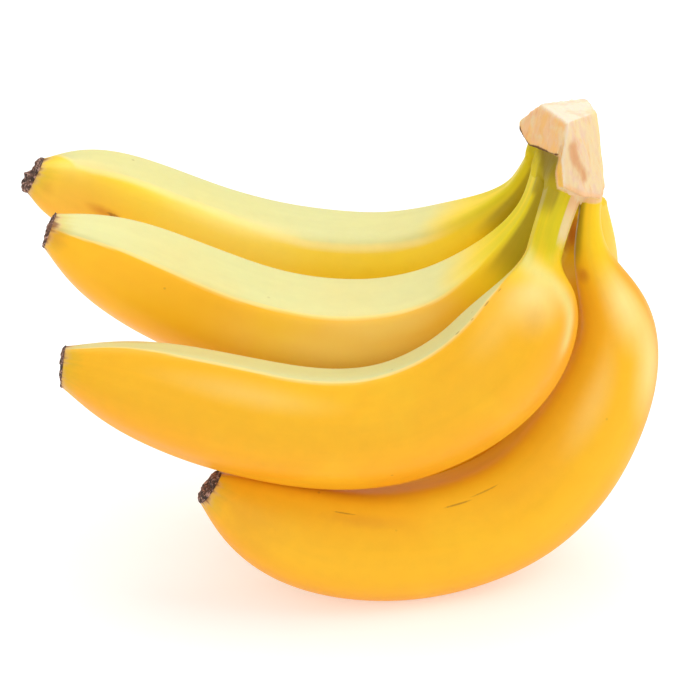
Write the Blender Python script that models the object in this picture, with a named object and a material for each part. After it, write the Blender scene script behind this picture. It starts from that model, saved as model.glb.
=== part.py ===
# Bunch of bananas: five fruits that hang together on one cut crown.
# The bunch lies on the convex backs of the two outer fruits, the crown high at +X.
# Lengths below are millimetres; the finished meshes are scaled to metres.
import math
import random

import bmesh
import bpy
import numpy as np
from mathutils import Vector

MM = 0.001
SEED = 41

# Mesh fineness
SIDES = 28
STATIONS = 36
COLLAR_SIDES = 20

# Joints: each fruit starts a hair's breadth beyond its collar on the crown
GAP = 0.3

# Shape of the neck shoulder and of the taper at the blossom end
SHOULDER_POWER = 1.8
TAPER_POWER = 1.15
NECK_FLARE = 0.05
NECK_FLARE_LENGTH = 6.0

# Length over which the slant of the blossom end fades out along the fruit
SLANT_FADE = 9.0

# Level of the ground in the frame of the spines: the fruits are flattened there
GROUND = -0.6

# Every fruit: spine from crown to blossom end, belly radius, share of that radius kept by
# the neck and by the blossom end, the lengths of neck, shoulder and taper, the facets of
# its section as (degrees from the hollow side, distance), how crisp its ridges are, how
# far its collar reaches into the crown and out of it, the slant of its end in degrees
# (positive where the hollow side is the longer one) and the thickness of its dry tip.
# "bulge" is a blunt swelling on the back of the bend: the distance of its crest, its half
# length towards the crown and towards the tip, and its height
FRUITS = {
    "banana_back": {
        "spine": [(60.5, 42, 129), (53, 49.5, 112), (25, 59, 86), (-10.5, 64, 81.5),
                  (-47.5, 68, 89), (-84, 69, 104.8), (-100.5, 70, 110.3)],
        "girth": 16.2, "neck": 0.30, "end": 0.32, "lengths": (17, 28, 15),
        "faces": [(-8, 1.0), (62, 1.01), (98, 1.02), (134, 1.02), (170, 1.0), (-80, 1.0),
                  (-135, 1.0)],
        "crisp": 8, "root": 5.0, "collar": 6.0, "slant": -12, "tip": 2.5,
        "bulge": (185.7, 12, 9, 2.6),
    },
    "banana_middle": {
        "spine": [(61.5, 31, 126.5), (54.5, 28, 110), (29.5, 26, 81), (-7, 26, 73),
                  (-40, 28, 80.5), (-73, 29, 96.5), (-92.5, 30, 107.2)],
        "girth": 16.0, "neck": 0.29, "end": 0.32, "lengths": (9, 37, 18),
        "faces": [(16, 0.99), (88, 0.97), (122, 1.0), (156, 1.0), (-58, 1.0), (-130, 1.0)],
        "crisp": 13, "root": 5.0, "collar": 3.5, "slant": 8, "tip": 1.3,
    },
    "banana_front": {
        "spine": [(65, 18, 127.5), (58, 7, 108.5), (47.5, -7, 84.5), (16.5, -11, 63),
                  (-17.5, -11, 61), (-54, -10, 70), (-86, -8, 79.2)],
        "girth": 16.9, "neck": 0.29, "end": 0.34, "lengths": (21, 17, 21),
        "faces": [(8, 1.02), (71, 0.98), (101, 1.01), (132, 1.01), (164, 1.0), (-60, 1.0),
                  (-120, 1.0)],
        "crisp": 13, "root": 5.0, "collar": 4.5, "slant": 10, "tip": 0.9,
        "bulge": (31.5, 5.5, 10.5, 2.8),
    },
    "banana_outer": {
        "spine": [(73.3, 19.5, 127), (74, 18, 103.5), (82, 18, 80), (73.5, 15, 46.5),
                  (52.5, 6, 24.5), (15.5, -4, 16.5), (-18, -8, 23.5), (-42.7, -8, 38.2)],
        "girth": 18.2, "neck": 0.155, "end": 0.31, "lengths": (4, 48, 19),
        "faces": [(-12, 1.0), (50, 0.99), (86, 1.01), (122, 0.99), (160, 1.0), (-84, 1.0),
                  (-140, 1.0)],
        "crisp": 9, "root": 2.5, "collar": 5.5, "slant": 0, "tip": 1.9,
    },
    "banana_hidden": {
        "spine": [(72.2, 39.1, 115.8), (74.2, 42.6, 101.5), (67, 47.5, 73), (40, 48, 30.5),
                  (10.5, 43.5, 15.5), (-17.5, 41, 20), (-40.5, 41, 33)],
        "girth": 17.0, "neck": 0.33, "end": 0.33, "lengths": (4, 29, 20),
        "faces": [(0, 1.0), (72, 1.0), (144, 1.0), (-72, 1.0), (-144, 1.0)],
        "crisp": 8, "root": 6.0, "collar": 3.0, "slant": 5, "tip": 2.5,
    },
}

# Crown: a knife-cut head, a cut pillar over the two front necks and the green cushion below
HEAD = [(57.6, 28.3, 149.7), (71.9, 38, 148.1), (74.3, 25, 148.3), (64.6, 12, 149.7),
        (51.6, 37, 141), (51.6, 35.6, 138.6), (54.3, 28, 136.3), (61.7, 12.5, 139),
        (59, 46, 140), (73, 48, 141), (57, 45, 133), (75, 45, 132)]
PILLAR = [(64.6, 12, 149.7), (74.3, 25, 148.3), (74.9, 22, 140.2), (77, 18.6, 127),
          (75.8, 14, 124.6), (69.9, 8.5, 127.5), (63.4, 7.5, 131.2), (62.7, 9.5, 139),
          (77, 38, 131), (76.5, 36, 120), (66, 38, 121), (62, 20, 126)]
CUSHION = [(56.5, 38, 132.5), (57.2, 34, 127.8), (58.8, 22, 126.7), (62.9, 13, 129.4),
           (59, 46, 125.5), (73, 46, 119), (75.5, 38, 119), (75.5, 34, 124),
           (70, 17, 125.5), (57.5, 45, 138), (62.7, 14.5, 137.7)]


def spline_point_list(points, count):
    """Natural cubic curve through the points, sampled evenly in its own parameter."""
    p = np.array(points, float)
    last = len(p) - 1
    knots = np.concatenate([[0.0], np.cumsum(np.sqrt(np.linalg.norm(np.diff(p, axis=0), axis=1)))])
    h = np.diff(knots)
    matrix = np.eye(last + 1)
    right = np.zeros_like(p)
    for i in range(1, last):
        matrix[i, i - 1:i + 2] = (h[i - 1], 2 * (h[i - 1] + h[i]), h[i])
        right[i] = 6 * ((p[i + 1] - p[i]) / h[i] - (p[i] - p[i - 1]) / h[i - 1])
    bend = np.linalg.solve(matrix, right)
    u = np.linspace(0, knots[-1], count)
    j = np.clip(np.searchsorted(knots, u, side="right") - 1, 0, last - 1)
    a = ((knots[j + 1] - u) / h[j])[:, None]
    b = 1 - a
    w = (h[j] ** 2 / 6)[:, None]
    return a * p[j] + b * p[j + 1] + w * ((a ** 3 - a) * bend[j] + (b ** 3 - b) * bend[j + 1])


def spine_frames(points):
    """Dense spine with its arc length, direction, side towards the hollow, and third axis."""
    q = spline_point_list(points, 1200)
    s = np.concatenate([[0.0], np.cumsum(np.linalg.norm(np.diff(q, axis=0), axis=1))])
    along = np.gradient(q, axis=0)
    along /= np.linalg.norm(along, axis=1)[:, None]
    plane = np.linalg.svd(q - q.mean(axis=0), full_matrices=False)[2][2]
    if plane[1] > 0:
        plane = -plane
    third = plane - (along @ plane)[:, None] * along
    third /= np.linalg.norm(third, axis=1)[:, None]
    hollow = np.cross(third, along)
    middle = len(q) // 2
    if hollow[middle] @ ((q[0] + q[-1]) / 2 - q[middle]) < 0:
        hollow = -hollow
    return q, s, along, hollow, third


def radius_at(s, total, fruit):
    """Radius of a fruit at arc length s: thin neck, shoulder, belly, taper to the blossom end."""
    neck_length, shoulder, taper = fruit["lengths"]
    rise = 1 - np.exp(-(np.maximum(s - neck_length, 0) / shoulder) ** SHOULDER_POWER)
    swell = fruit["neck"] + (1 - fruit["neck"]) * rise
    flare = NECK_FLARE * np.exp(-np.maximum(s, 0) / NECK_FLARE_LENGTH)
    fall = 1 - np.exp(-(np.maximum(total - s, 0) / taper) ** TAPER_POWER)
    close = fruit["end"] + (1 - fruit["end"]) * fall
    return fruit["girth"] * (swell + flare) * close


def section_at(angle, fruit):
    """Unit outline of the rounded polygon section; angle 0 faces the hollow of the bend."""
    total = 0.0
    for facing, distance in fruit["faces"]:
        total += (max(math.cos(angle - math.radians(facing)), 0.0) / distance) ** fruit["crisp"]
    return total ** (-1.0 / fruit["crisp"])


def bulge_at(s, angle, fruit):
    """Extra reach of a blunt swelling, all on the back of the bend."""
    if "bulge" not in fruit:
        return 0.0
    crest, before, after, height = fruit["bulge"]
    length = before if s < crest else after
    return height * math.exp(-((s - crest) / length) ** 2) * (0.5 - 0.5 * math.cos(angle)) ** 2


def sample(fruit, s):
    """Centre, direction, hollow side, third axis, radius and slant at arc length s."""
    q, lengths, along, hollow, third = spine_frames(fruit["spine"])
    total = lengths[-1]
    inside = min(max(s, 0.0), total)
    centre = np.array([np.interp(inside, lengths, q[:, k]) for k in range(3)])
    axes = []
    for field in (along, hollow, third):
        axes.append(np.array([np.interp(inside, lengths, field[:, k]) for k in range(3)]))
    centre = centre + (s - inside) * axes[0]
    radius = float(radius_at(inside, total, fruit))
    slant = math.tan(math.radians(fruit["slant"])) * math.exp((inside - total) / SLANT_FADE)
    return centre, axes, radius, slant


def ring(fruit, s, sides, scale=1.0, wobble=None):
    """One closed ring of vertices round the spine."""
    centre, (along, hollow, third), radius, slant = sample(fruit, s)
    vertices = []
    for i in range(sides):
        angle = 2 * math.pi * i / sides
        reach = scale * (radius * section_at(angle, fruit) + bulge_at(s, angle, fruit))
        if wobble:
            reach *= wobble[i]
        offset = hollow * (reach * math.cos(angle)) + third * (reach * math.sin(angle))
        vertices.append(centre + offset + along * (slant * reach * math.cos(angle)))
    return vertices


def tube_mesh(name, rings, first_centre, last_centre):
    """Closed tube through the rings with a fan of triangles over each end."""
    sides = len(rings[0])
    vertices = [tuple(v) for one in rings for v in one]
    vertices.append(tuple(first_centre))
    vertices.append(tuple(last_centre))
    start = len(vertices) - 2
    faces = []
    for r in range(len(rings) - 1):
        for i in range(sides):
            j = (i + 1) % sides
            a, b = r * sides + i, r * sides + j
            c, d = a + sides, b + sides
            if (r + i) % 2:
                faces.extend([(a, b, c), (b, d, c)])
            else:
                faces.extend([(a, b, d), (a, d, c)])
    end = (len(rings) - 1) * sides
    for i in range(sides):
        j = (i + 1) % sides
        faces.append((start, j, i))
        faces.append((start + 1, end + i, end + j))
    mesh = bpy.data.meshes.new(name)
    mesh.from_pydata(vertices, [], faces)
    face_outwards(mesh)
    return mesh


def face_outwards(mesh):
    """Point every face of a closed mesh outwards."""
    work = bmesh.new()
    work.from_mesh(mesh)
    bmesh.ops.recalc_face_normals(work, faces=work.faces)
    if work.calc_volume(signed=True) < 0:
        bmesh.ops.reverse_faces(work, faces=work.faces)
    work.to_mesh(mesh)
    work.free()


def add_object(name, mesh):
    item = bpy.data.objects.new(name, mesh)
    bpy.context.scene.collection.objects.link(item)
    return item


def station_list(total, fruit):
    """Arc lengths of the rings: close together on the neck, shoulder and taper."""
    first = fruit["collar"] + GAP
    fine = np.linspace(first, total, 2000)
    neck_length, shoulder, taper = fruit["lengths"]
    want = 1 + 1.3 * np.exp(-((fine - neck_length - 0.5 * shoulder) / 22) ** 2)
    want = want + 1.6 * np.exp(-(total - fine) / 10)
    share = np.concatenate([[0.0], np.cumsum(0.5 * (want[1:] + want[:-1]))])
    share /= share[-1]
    return np.interp(np.linspace(0, 1, STATIONS), share, fine)


def build_banana(name, fruit):
    """One fruit from its collar to its blossom end, flattened where it meets the ground."""
    total = spine_frames(fruit["spine"])[1][-1]
    stations = station_list(total, fruit)
    rings = [ring(fruit, s, SIDES) for s in stations]
    for one in rings:
        for v in one:
            v[2] = max(v[2], GROUND)
    mesh = tube_mesh(name, rings, sample(fruit, stations[0])[0], sample(fruit, total)[0])
    return add_object(name, mesh)


def build_tip(name, fruit, rng):
    """Dark dried crust at the blossom end: a short rough plug with a sunken scar."""
    total = spine_frames(fruit["spine"])[1][-1]
    depth = fruit["tip"]
    steps = [(0.0, 0.97, 0.02), (0.3, 0.98, 0.07), (0.62, 0.90, 0.10), (0.88, 0.72, 0.12),
             (0.96, 0.46, 0.10), (0.80, 0.20, 0.06)]
    rings = []
    lumps = [1 + rng.uniform(-1, 1) for _ in range(SIDES)]
    lumps = [(lumps[i - 1] + 2 * lumps[i] + lumps[(i + 1) % SIDES]) / 4 - 1 for i in range(SIDES)]
    for share, scale, rough in steps:
        wobble = [1 + rough * (1.6 * lumps[i] + 0.25 * rng.uniform(-1, 1)) for i in range(SIDES)]
        rings.append(ring(fruit, total + GAP + depth * share, SIDES, scale, wobble))
    first = sample(fruit, total + GAP)[0]
    last = sample(fruit, total + GAP + depth * 0.72)[0]
    return add_object(name, tube_mesh(name, rings, first, last))


def hull_mesh(name, points):
    """Convex block round a set of corner points."""
    work = bmesh.new()
    for p in points:
        work.verts.new(p)
    bmesh.ops.convex_hull(work, input=work.verts)
    loose = [v for v in work.verts if not v.link_faces]
    bmesh.ops.delete(work, geom=loose, context="VERTS")
    mesh = bpy.data.meshes.new(name)
    work.to_mesh(mesh)
    work.free()
    face_outwards(mesh)
    return mesh


def collar_mesh(name, fruit):
    """Short stub of the neck that belongs to the crown."""
    root, collar = fruit["root"], fruit["collar"]
    stations = [-root, -root / 2, 0.0, collar / 2, collar]
    rings = [ring(fruit, s, COLLAR_SIDES) for s in stations]
    return tube_mesh(name, rings, sample(fruit, stations[0])[0], sample(fruit, stations[-1])[0])


def unite(target, mesh):
    """Boolean union of one more block with the target object."""
    helper = add_object("helper", mesh)
    helper.hide_render = True
    helper.display_type = "WIRE"
    modifier = target.modifiers.new("union", "BOOLEAN")
    modifier.operation = "UNION"
    modifier.solver = "EXACT"
    modifier.object = helper
    graph = bpy.context.evaluated_depsgraph_get()
    joined = bpy.data.meshes.new_from_object(target.evaluated_get(graph))
    target.modifiers.clear()
    target.data = joined
    bpy.data.objects.remove(helper, do_unlink=True)


def build_crown():
    """Cut crown: head, pillar, cushion and one collar for every fruit, as one body."""
    crown = add_object("crown", hull_mesh("crown", HEAD))
    unite(crown, hull_mesh("pillar", PILLAR))
    unite(crown, hull_mesh("cushion", CUSHION))
    for name, fruit in FRUITS.items():
        unite(crown, collar_mesh("collar_" + name, fruit))
    work = bmesh.new()
    work.from_mesh(crown.data)
    bmesh.ops.triangulate(work, faces=work.faces)
    work.to_mesh(crown.data)
    work.free()
    face_outwards(crown.data)
    return crown


def material(name, colour, roughness):
    """Plain surface colour of a sub-part."""
    made = bpy.data.materials.new(name)
    made.use_nodes = True
    shader = made.node_tree.nodes["Principled BSDF"]
    shader.inputs["Base Color"].default_value = (*colour, 1.0)
    shader.inputs["Roughness"].default_value = roughness
    shader.inputs["Metallic"].default_value = 0.0
    return made


def place_on_origin(items):
    """Scale to metres and put the middle of the underside of the bunch on the origin."""
    corners = [v.co.copy() for item in items for v in item.data.vertices]
    middle = Vector((0.0, 0.0, 0.0))
    for k in range(2):
        values = [c[k] for c in corners]
        middle[k] = (min(values) + max(values)) / 2
    middle[2] = min(c[2] for c in corners)
    for item in items:
        for v in item.data.vertices:
            v.co = (v.co - middle) * MM


def main():
    for item in list(bpy.data.objects):
        bpy.data.objects.remove(item, do_unlink=True)
    rng = random.Random(SEED)
    peel = material("peel", (0.80, 0.47, 0.05), 0.42)
    cut = material("crown", (0.72, 0.50, 0.27), 0.65)
    crust = material("dry_tip", (0.06, 0.035, 0.025), 0.9)
    items = [build_crown()]
    items[0].data.materials.append(cut)
    for name, fruit in FRUITS.items():
        banana = build_banana(name, fruit)
        banana.data.materials.append(peel)
        items.append(banana)
    for name, fruit in FRUITS.items():
        tip = build_tip(name.replace("banana", "dry_tip"), fruit, rng)
        tip.data.materials.append(crust)
        items.append(tip)
    place_on_origin(items)
    for item in items:
        smooth = item.name != "crown"
        for face in item.data.polygons:
            face.use_smooth = smooth


main()
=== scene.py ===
# Bunch of bananas: the finish of every surface, the camera, the floor and the light.
# Sizes are millimetres in the frame of the spines; ORIGIN and MM bring them to the row frame.
# In the materials, noise scales are per metre and bump distances are metres.
import math

import bmesh
import bpy
import numpy as np
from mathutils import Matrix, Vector, noise
from mathutils.bvhtree import BVHTree


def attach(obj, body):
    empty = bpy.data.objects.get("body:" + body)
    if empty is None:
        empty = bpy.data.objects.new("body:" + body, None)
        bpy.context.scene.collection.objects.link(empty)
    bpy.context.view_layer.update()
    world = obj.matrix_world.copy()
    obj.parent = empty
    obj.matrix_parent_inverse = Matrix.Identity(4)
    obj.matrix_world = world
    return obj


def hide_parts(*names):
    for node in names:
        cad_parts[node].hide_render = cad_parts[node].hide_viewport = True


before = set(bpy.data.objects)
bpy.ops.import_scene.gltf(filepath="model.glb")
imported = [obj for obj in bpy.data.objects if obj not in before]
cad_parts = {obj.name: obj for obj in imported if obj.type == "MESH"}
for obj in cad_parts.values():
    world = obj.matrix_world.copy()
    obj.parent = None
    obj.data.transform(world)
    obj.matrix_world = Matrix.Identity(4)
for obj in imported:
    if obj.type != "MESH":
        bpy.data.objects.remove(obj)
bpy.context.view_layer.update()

# ORIGIN is the middle of the object's box on the floor, which lies at height GROUND
MM = 0.001
ORIGIN = np.array([-4.70, 28.53, -0.6])
GROUND = -0.6

# Photograph: angle above the horizon, distance and lens that give its perspective
CAMERA_ELEVATION = 25.0
CAMERA_DISTANCE = 905.0
CAMERA_LENS = 150.0
CAMERA_TARGET = np.array([0.0, 20.0, 71.7])

# Mesh fineness
SIDES = 128
STATIONS = 300
TIP_SIDES = 96
TIP_ROWS = 40
COLLAR_SIDES = 40
COLLAR_ROWS = 8
SPINE_SAMPLES = 1200
STATION_SAMPLES = 4000
CROWN_VOXEL = 0.42

# Rings stand closer at the shoulder and at the blossom end: (how much, over what length)
SHOULDER_RINGS = (1.3, 22)
END_RINGS = (1.6, 10)

# Shape of the neck shoulder and of the taper at the blossom end, how far the lean of that
# end reaches back, and how far a neck starts inside the crown
SHOULDER_POWER = 1.8
TAPER_POWER = 1.15
NECK_FLARE = 0.05
NECK_FLARE_LENGTH = 6.0
SLANT_FADE = 9.0
NECK_SINK = 3.0

# Radius of the straightened fruit that the paint is laid out on
BELLY = 18.0

# Faint lumps of a grown fruit: length, turn round the section, share of the radius, and how
# far along the neck they set in
LUMP_LENGTH = 26.0
LUMP_TURN = 0.9
LUMPINESS = 0.012
LUMPS_SET_IN = 25

# The knife trimmed the right side of the crown at TRIM. The limit leans out from TRIM_START
# to the end of a collar, and releases the fruit beyond it. The peel lies a little deeper.
TRIM = 75.3
TRIM_START = -2
TRIM_LEAN = 3
TRIM_RELEASE = 8
TRIM_FREE = 30
PEEL_SLACK = -0.4

# A collar is wider than its neck at the root and narrower where it ends in the peel
COLLAR_SWELL = 1.10
COLLAR_NARROWING = 0.16
COLLAR_START = -1
COLLAR_OVERLAP = 2

# Borders of the paint: how far they wander with the lumps, in degrees for the pale side
# of painted sheen and in millimetres for the others, and the tongues in which the green of a
# neck ends
SHEEN_WANDER = 3
YELLOW_WANDER = 6
GREEN_WANDER = 5
TONGUE_LENGTH = 3
TONGUES = 5
SHEEN_BACK_SOFT = 9
ROSY_RANGE = (5, 11)
GLEAM_WIDTH = 3.4

# Single spots: the rim runs from SPOT_CORE, less its softness, to SPOT_RIM half widths, and
# is ragged by the last share
SPOT_CORE = 1.3
SPOT_RIM = 1.35
SPOT_RAGGED = 0.9

# Every fruit: its form as in the solids, then its paint. Angles are degrees round the
# section from the hollow side, positive towards the front, and places along the fruit are
# millimetres from its root in the crown.
# Form: "spine" is the middle line and "girth" the largest radius; "neck" and "end" are
# shares of it at the two ends; "lengths" are those of neck, shoulder and taper; "faces" are
# the flat sides of the section as (angle, distance), joined more sharply the higher "crisp"
# is. "root" and "collar" say how far the collar runs into the crown and along the fruit,
# "slant" how the blossom end leans and "tip" how deep its crust is. "bulge" is a swelling
# of the back as (crest, length before it, length after it, height).
# Paint: "pale" is the hollow side paled with painted sheen, as stations of (along, upper
# edge), "pale_back" its other edge and "pale_soft" its softness. "sunny" is the share of
# lighter yellow in the ground colour and "tone" the brightness. "deep" is the range of angles
# over which the darker gold of painted shade sets in on the back of the bend; "yellow" and
# "green" are the ranges over which those colours of the neck end. "shade" lists the olive
# sides of the neck, painted shade, and "strip" is its cut side, as (angle, half width,
# softness, where it starts to fade, where it ends). "gleam" is a painted highlight, a pale
# line over the shoulder, as corners of (along, angle). "glow" (painted highlights), "blush"
# (orange), "smudges" (russet) and "marks" (brown) list spots as (along, angle, half length,
# half width, strength).
FRUITS = {
    "banana_back": {
        "spine": [(60.5, 42, 129), (53, 49.5, 112), (25, 59, 86), (-10.5, 64, 81.5),
                  (-47.5, 68, 89), (-84, 69, 104.8), (-100.5, 70, 110.3)],
        "girth": 16.2, "neck": 0.30, "end": 0.32, "lengths": (17, 28, 15),
        "faces": [(-8, 1.0), (62, 1.01), (98, 1.02), (134, 1.02), (170, 1.0), (-80, 1.0),
                  (-135, 1.0)],
        "crisp": 8, "root": 5.0, "collar": 6.0, "slant": -12, "tip": 2.4,
        "bulge": (185.7, 12, 9, 2.6),
        "pale": [(35, 40), (60, 36), (100, 34), (124, 24), (140, 19), (150, 20), (165, 21),
                 (176, 24), (181, 20), (189, -40)],
        "pale_back": -60, "pale_soft": 7, "sunny": 1.3, "tone": 0.97, "deep": (66, 118),
        "yellow": (34, 56), "green": (22, 44),
        "shade": [(120, 66, 14, 22, 44)], "strip": None, "gleam": None,
        "glow": [(125, 28, 30, 4, 0.5), (182, 20, 9, 9, 0.35), (128, 50, 48, 13, 0.3)],
        "blush": [(178, 72, 24, 17, 0.75)],
        # The smudge at 168 and the mark at 165 darken the lower edge where the middle fruit meets
        # this one: painted shade
        "smudges": [(187, 75, 3, 6, 0.2), (168, 70, 6, 2.6, 0.6)],
        "marks": [(100, 95, 0.7, 0.7, 0.25), (165, 68.5, 2.2, 0.9, 0.6)],
    },
    "banana_middle": {
        "spine": [(61.5, 31, 126.5), (54.5, 28, 110), (29.5, 26, 81), (-7, 26, 73),
                  (-40, 28, 80.5), (-73, 29, 96.5), (-92.5, 30, 107.2)],
        "girth": 16.0, "neck": 0.29, "end": 0.32, "lengths": (9, 37, 18),
        "faces": [(16, 0.99), (88, 0.97), (122, 1.0), (156, 1.0), (-58, 1.0), (-130, 1.0)],
        "crisp": 13, "root": 5.0, "collar": 3.5, "slant": 8, "tip": 1.3,
        "pale": [(30, 49), (36, 51), (165, 51), (182, 58)],
        "pale_back": -70, "pale_soft": 2.2, "sunny": 0.15, "tone": 1.02, "deep": (95, 165),
        "yellow": (32, 52), "green": (22, 42),
        "shade": [(127, 68, 9, 22, 44), (92, 56, 9, 5, 10)], "strip": None, "gleam": None,
        "glow": [(70, 62, 26, 5, 0.3), (90, 88, 40, 16, 0.4)], "blush": [],
        "smudges": [(186, 80, 4, 10, 0.35)],
        "marks": [(150, 70, 0.5, 0.5, 0.25)],
    },
    "banana_front": {
        "spine": [(65, 18, 127.5), (58, 7, 108.5), (47.5, -7, 84.5), (16.5, -11, 63),
                  (-17.5, -11, 61), (-54, -10, 70), (-86, -8, 79.2)],
        "girth": 16.9, "neck": 0.29, "end": 0.34, "lengths": (21, 17, 21),
        "faces": [(8, 1.02), (71, 0.98), (101, 1.01), (132, 1.01), (164, 1.0), (-60, 1.0),
                  (-120, 1.0)],
        "crisp": 13, "root": 5.0, "collar": 4.5, "slant": 10, "tip": 0.9,
        "bulge": (31.5, 5.5, 10.5, 2.8),
        "pale": [(26, 14), (38, 34), (50, 37), (160, 37.5), (185, 32)],
        "pale_back": -90, "pale_soft": 2.2, "sunny": 0.2, "tone": 0.89, "deep": (92, 165),
        "yellow": (24, 38), "green": (16, 30),
        "shade": [(22, 54, 11, 4, 15)], "strip": (152, 36, 6, 9, 26),
        "gleam": [(24, 30), (27.6, 60), (29.5, 90), (31.2, 114), (34, 133), (37, 145),
                  (40, 151), (44, 154)],
        "glow": [(36, 88, 11, 12, 0.8), (48, 62, 14, 6, 0.2), (140, 62, 30, 5, 0.3)],
        "blush": [], "smudges": [(44, 96, 6, 5, 0.16), (179, -16, 9, 5, 0.35)],
        "marks": [(59, 34, 1.2, 0.4, 0.5), (51.5, 36, 0.9, 0.35, 0.45), (44, 38, 1.4, 0.4, 0.5),
                  (38, 40, 1.0, 0.4, 0.45)],
    },
    "banana_outer": {
        "spine": [(73.3, 19.5, 127), (74, 18, 103.5), (82, 18, 80), (73.5, 15, 46.5),
                  (52.5, 6, 24.5), (15.5, -4, 16.5), (-18, -8, 23.5), (-42.7, -8, 38.2)],
        "girth": 18.2, "neck": 0.155, "end": 0.31, "lengths": (4, 48, 19),
        "faces": [(-12, 1.0), (50, 0.99), (86, 1.01), (122, 0.99), (160, 1.0), (-84, 1.0),
                  (-140, 1.0)],
        "crisp": 9, "root": 2.5, "collar": 5.5, "slant": 0, "tip": 1.4,
        "pale": [(0, -80), (200, -80)],
        "pale_back": -120, "pale_soft": 12, "sunny": 0.3, "tone": 0.92, "deep": (100, 165),
        "yellow": (14, 36), "green": (-4, 7),
        "shade": [(-15, 56, 20, 14, 34)], "strip": (112, 78, 18, 3.0, 6.5), "gleam": None,
        "glow": [(38, 108, 14, 12, 0.9), (56, 130, 16, 9, 0.75), (70, 62, 22, 6, 0.3)],
        "blush": [],
        "smudges": [(26, 38, 2.6, 6.5, 0.6), (172, 45, 16, 2.5, 0.22), (206, 98, 13, 13, 0.2)],
        "marks": [(178, 39, 4.5, 0.3, 0.45), (137, 37.5, 5.5, 0.35, 0.5),
                  (126, 35, 6.0, 0.3, 0.4)],
    },
    "banana_hidden": {
        "spine": [(72.2, 39.1, 115.8), (74.2, 42.6, 101.5), (67, 47.5, 73), (40, 48, 30.5),
                  (10.5, 43.5, 15.5), (-17.5, 41, 20), (-40.5, 41, 33)],
        "girth": 17.0, "neck": 0.33, "end": 0.33, "lengths": (4, 29, 20),
        "faces": [(0, 1.0), (72, 1.0), (144, 1.0), (-72, 1.0), (-144, 1.0)],
        "crisp": 8, "root": 6.0, "collar": 3.0, "slant": 5, "tip": 2.5,
        "pale": [(20, 36), (180, 36)],
        "pale_back": -36, "pale_soft": 9, "sunny": 0.5, "tone": 0.92, "deep": (80, 150),
        "yellow": (12, 30), "green": (-4, 6),
        "shade": [(0, 40, 20, 0, 8)], "strip": None, "gleam": None,
        "glow": [(14, 170, 14, 14, 0.8), (24, 55, 5, 8, 0.35)], "blush": [],
        # Its two smudges near the root darken the neck where it shows between the front and outer
        # necks: painted shade
        "smudges": [(9, 38, 8, 10, 0.85), (13, 38, 5, 8, 0.6)], "marks": [],
    },
}

# Crown: a knife-cut head, a cut pillar over the two front necks and the green cushion below
HEAD = [(57.6, 28.3, 149.7), (71.9, 38, 148.1), (74.3, 25, 148.3), (64.6, 12, 149.7),
        (51.6, 37, 141), (51.6, 35.6, 138.6), (54.3, 28, 136.3), (61.7, 12.5, 139),
        (59, 46, 140), (73, 48, 141), (57, 45, 133), (75, 45, 132)]
PILLAR = [(64.6, 12, 149.7), (74.3, 25, 148.3), (74.9, 22, 140.2), (77, 18.6, 127),
          (75.8, 14, 124.6), (69.9, 8.5, 127.5), (63.4, 7.5, 131.2), (62.7, 9.5, 139),
          (75.2, 38, 131), (74.8, 36, 120), (66, 38, 121), (62, 20, 126)]
CUSHION = [(56.5, 38, 132.5), (57.2, 34, 127.8), (58.8, 22, 126.7), (62.9, 13, 129.4),
           (59, 46, 125.5), (73, 46, 119), (75.5, 38, 119), (75.5, 34, 124),
           (70, 17, 125.5), (57.5, 45, 138), (62.7, 14.5, 137.7)]
# Direction that the crown's left cut faces, lines along which the cuts are marked, with a
# painted highlight on the arris and the right edge, and the dark notch at the right end of
# the foot
LEFT_CUT = (-0.89, -0.39, 0.23)
CRACK = [(51.6, 35.6, 138.6), (52.7, 31.8, 136.4), (54.3, 27.7, 135.7), (56.5, 23.6, 136.9),
         (58.6, 19, 137.4), (59.9, 15.9, 137.5), (61.7, 12.3, 138.6)]
GROOVE = [(66.4, 11.2, 142.2), (67.4, 10.4, 138.6), (68.7, 10.8, 135), (69.8, 11.4, 132.8)]
ARRIS = [(57.6, 28.3, 149.7), (64.6, 12, 149.7), (62.7, 9.5, 139), (63.4, 7.5, 131.2)]
FOOT = [(63.4, 7.5, 131.2), (69.9, 8.5, 127.5), (75.8, 14, 124.6), (77, 18.6, 127)]
RIGHT_EDGE = [(74.3, 25, 148.3), (74.9, 22, 140.2), (77, 18.6, 127)]
NOTCH = (76.8, 18.3, 126.4)

# Widths of those lines and of the notch, and how strong the notch is
GROOVE_WIDTH = 2.4
CRACK_WIDTH = 1.35
FOOT_WIDTH = 1.6
ARRIS_WIDTH = 0.9
EDGE_WIDTH = 2.2
NOTCH_WIDTH = 1.3
NOTCH_SHARE = 0.6

# Below the pillar the cut runs on over the necks, within these borders
CUT_BACK = (26, 31)
CUT_LEFT = 64.0
CUT_LEFT_LEAN = 0.55
CUT_LEFT_UPRIGHT = 129
CUT_FOOT = 119.5
CUT_FOOT_SLOPE = 0.25
CUT_FOOT_ORIGIN = 66
CUT_FOOT_STEP = 2.4
CUT_FOOT_STEP_RANGE = (69, 72)
CUT_LEFT_SOFT = 0.5
CUT_FOOT_SOFT = 1.6
CUT_REACH = (0.3, 0.9)

# Relief of the crown: rounds of smoothing and how far each goes, depths, and the grain of
# the torn fibres
SMOOTHING_SHARE = 0.5
CUT_SMOOTHING = 3
GROWN_SMOOTHING = 45
FIBRE_DEPTH = 0.28
GROOVE_DEPTH = 0.3
CRACK_DEPTH = 0.5
FIBRE_GRAIN = (0.9, 0.9, 0.16)
TEAR_GRAIN = 0.45
TEAR_SHARE = 0.6

# Parts of the crown that are painted apart: how squarely they face their direction, or
# between which coordinates they end
FACING = (0.80, 0.95)
SIDE_FACING = (0.5, 0.8)
SHADED_ACROSS = (56.5, 59.0)
SHADED_BACK = (30, 40)
STRIPE_TOP = (135.5, 138.5)
LOW_TOP = (135.5, 145)
NECK_REACH = (1.15, 1.5)
NECK_START = (-2.5, 2.5)

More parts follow.
